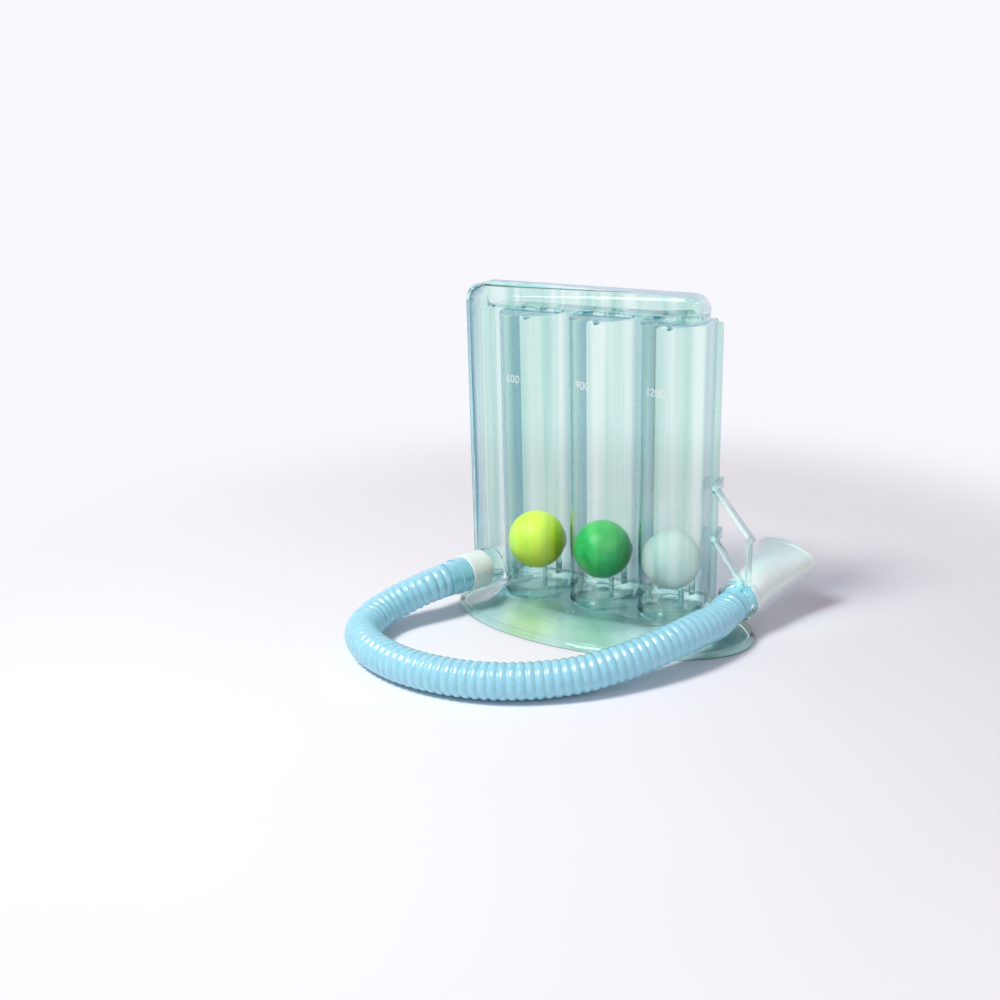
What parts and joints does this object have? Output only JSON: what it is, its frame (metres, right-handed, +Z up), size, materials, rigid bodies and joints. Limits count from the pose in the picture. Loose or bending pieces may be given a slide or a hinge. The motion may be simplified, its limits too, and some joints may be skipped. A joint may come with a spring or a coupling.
{
  "type": "incentive spirometer",
  "caption": "Clear flow-type breathing trainer: coloured balls in upright columns on an oval foot, with a ribbed hose and a flat mouthpiece held at the side.",
  "frame": {"origin": "underside of the foot on the floor, straight below the axis of the middle column", "axes": "+Z up, -Y towards the user (the round fronts of the columns), +X towards the mouthpiece"},
  "size_m": [0.1922, 0.1631, 0.1595],
  "materials": {
    "clear_shell": "clear moulded styrene with a pale aqua tint",
    "clear_foot": "clear moulded styrene with a pale aqua tint",
    "ball_lime": "satin moulded plastic",
    "ball_green": "satin moulded plastic",
    "ball_clear": "frosted translucent plastic",
    "mint_soft": "translucent mint polyethylene",
    "hose_blue": "translucent light blue ribbed tubing"
  },
  "bodies": {
    "housing": {"front_shell": "clear_shell", "back_shell": "clear_shell", "base_foot": "clear_foot", "orifice_seat_left": "clear_shell", "orifice_seat_middle": "clear_shell", "orifice_seat_right": "clear_shell", "port_cuff": "mint_soft", "hose_collar_start": "hose_blue", "hose_tube": "hose_blue", "hose_collar_end": "hose_blue", "mouthpiece_holder": "clear_shell"},
    "left_ball": {"ball_left": "ball_lime"},
    "middle_ball": {"ball_middle": "ball_green"},
    "right_ball": {"ball_right": "ball_clear"},
    "mouth_end": {"mouthpiece": "mint_soft"}
  },
  "joints": [
    {"name": "ball_left_rise", "type": "slide", "parent": "housing", "child": "left_ball", "axis": [0, 0, 1], "range_m": [0, 0.095]},
    {"name": "ball_middle_rise", "type": "slide", "parent": "housing", "child": "middle_ball", "axis": [0, 0, 1], "range_m": [0, 0.095]},
    {"name": "ball_right_rise", "type": "slide", "parent": "housing", "child": "right_ball", "axis": [0, 0, 1], "range_m": [0, 0.095]},
    {"name": "mouthpiece_pull", "type": "slide", "parent": "housing", "child": "mouth_end", "axis": [0.257, 0.941, 0.2203], "range_m": [0, 0.012]}
  ]
}
